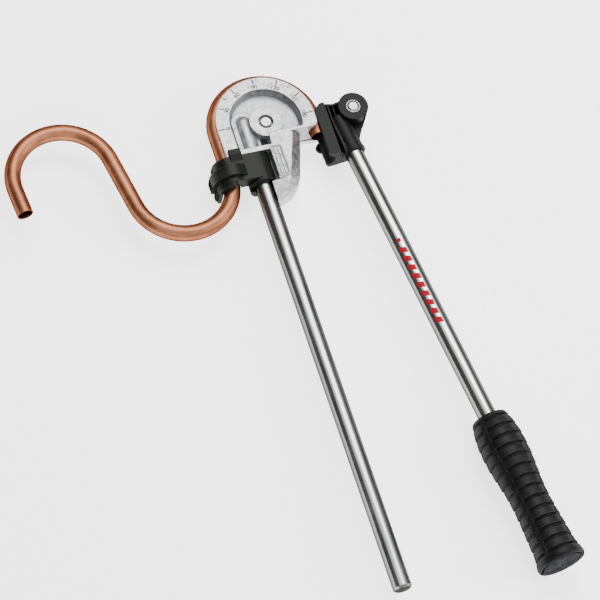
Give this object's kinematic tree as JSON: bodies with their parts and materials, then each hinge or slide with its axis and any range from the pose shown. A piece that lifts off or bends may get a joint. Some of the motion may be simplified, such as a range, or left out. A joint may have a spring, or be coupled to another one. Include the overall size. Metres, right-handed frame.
{
  "type": "manual tube bender",
  "caption": "Hand tube bender: grooved die-cast former on a fixed bar, swivel hook, link and long lever with sliding shoe and rubber grip, with its bent copper tube.",
  "frame": {"origin": "centre of the bend: the centre pin's axis, in the plane of the bent tube's centre line", "axes": "+Z along the centre pin, out of the scale face; +Y from the fixed bar's free end towards the former; +X towards the lever at the end of a half-turn bend"},
  "size_m": [0.3903, 0.5308, 0.0475],
  "materials": {
    "cast_aluminium": "tumbled die-cast, satin",
    "zinc_bar": "drawn bar, bright zinc",
    "spring_steel": "oiled spring steel",
    "black_casting": "black coated casting",
    "pin_steel": "turned",
    "bush_bronze": "sintered bronze",
    "bush_steel": "turned",
    "zinc_washer": "zinc plated",
    "link_steel": "zinc plated plate",
    "black_head": "black coated casting",
    "black_shoe": "moulded, dry sliding plastic",
    "screw_steel": "black oxide",
    "bright_tube": "bright plated tube",
    "grip_rubber": "moulded rubber",
    "cap_plastic": "moulded grey plastic",
    "copper": "drawn copper, lightly tarnished"
  },
  "bodies": {
    "frame": {"bending_former": "cast_aluminium", "fixed_bar": "zinc_bar", "bar_roll_pin": "spring_steel", "centre_pin": "pin_steel", "centre_clip": "spring_steel"},
    "hook": {"tube_hook": "black_casting"},
    "link": {"rear_link": "link_steel", "centre_bush": "bush_bronze", "centre_inner_washer": "zinc_washer", "centre_outer_washer": "zinc_washer", "eye_pin": "pin_steel", "eye_washer": "zinc_washer", "eye_clip": "spring_steel"},
    "lever": {"lever_head": "black_head", "eye_bush": "bush_steel", "slide_shoe": "black_shoe", "shoe_screws": "screw_steel", "lever_tube": "bright_tube", "lever_roll_pin": "spring_steel", "grip": "grip_rubber", "grip_end_cap": "cap_plastic"},
    "workpiece": {"copper_tube": "copper"}
  },
  "joints": [
    {"name": "lever_swing", "type": "hinge", "parent": "frame", "child": "link", "pos_m": [0, 0, 0], "axis": [0, 0, 1], "range_deg": [0, 180]},
    {"name": "head_pivot", "type": "hinge", "parent": "link", "child": "lever", "pos_m": [0.0825, -0.004, 0], "axis": [0, 0, 1], "range_deg": [0, 30]},
    {"name": "hook_swivel", "type": "hinge", "parent": "frame", "child": "hook", "pos_m": [-0.0189, 0, 0], "axis": [0, 1, 0], "range_deg": [0, 90]},
    {"name": "workpiece_slide", "type": "slide", "parent": "frame", "child": "workpiece", "axis": [0, 1, 0], "range_m": [0, 0.0005]}
  ]
}
